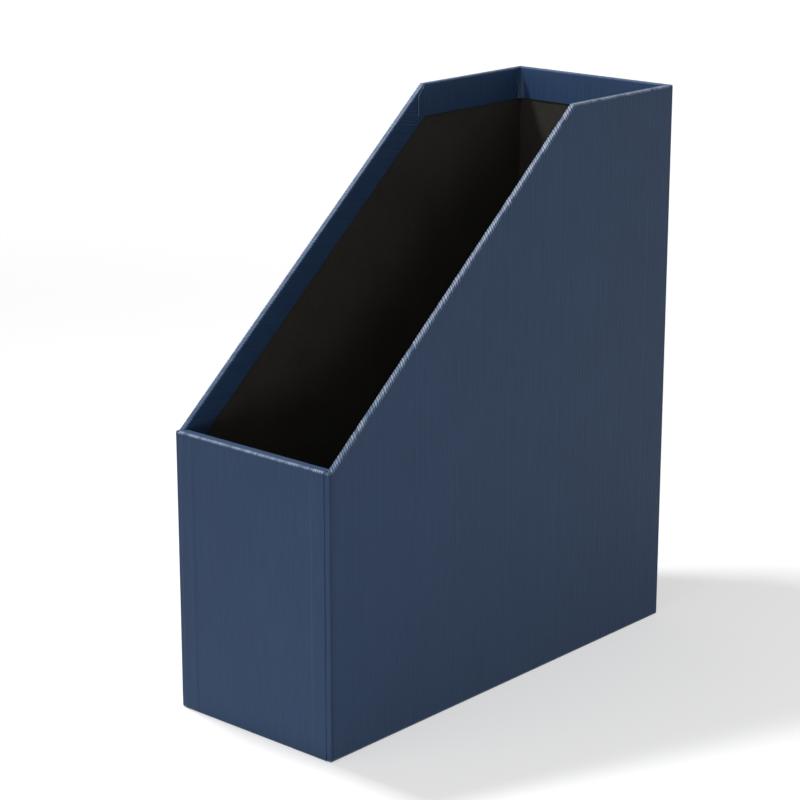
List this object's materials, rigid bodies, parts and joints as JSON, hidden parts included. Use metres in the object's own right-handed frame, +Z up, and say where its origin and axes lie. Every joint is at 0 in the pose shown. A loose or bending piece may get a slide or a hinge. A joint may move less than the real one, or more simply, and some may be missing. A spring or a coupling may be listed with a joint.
{
  "type": "magazine file",
  "caption": "Rigid upright file for magazines and papers, of paper-covered greyboard, with a slanted open mouth and a low front.",
  "frame": {"origin": "middle of the base, on the surface that the file stands on", "axes": "+Z up, -Y towards the low front, +X to the right as seen from the front"},
  "size_m": [0.108, 0.278, 0.31],
  "materials": {
    "cover_paper": "navy linen-embossed covering paper, satin",
    "lining_paper": "near-black lining paper, matt",
    "greyboard": "plain greyboard, matt",
    "stay_paper": "gummed kraft paper, matt"
  },
  "bodies": {
    "root": {"bottom_board": "greyboard", "left_board": "greyboard", "right_board": "greyboard", "back_board": "greyboard", "front_board": "greyboard", "front_inner_board": "greyboard", "corner_stay_front_left": "stay_paper", "corner_stay_front_right": "stay_paper", "corner_stay_back_left": "stay_paper", "corner_stay_back_right": "stay_paper", "body_wrap": "cover_paper", "front_cover": "cover_paper", "bottom_cover": "cover_paper", "left_lining": "lining_paper", "right_lining": "lining_paper", "back_lining": "lining_paper", "front_lining": "lining_paper", "floor_lining": "lining_paper"}
  },
  "joints": []
}
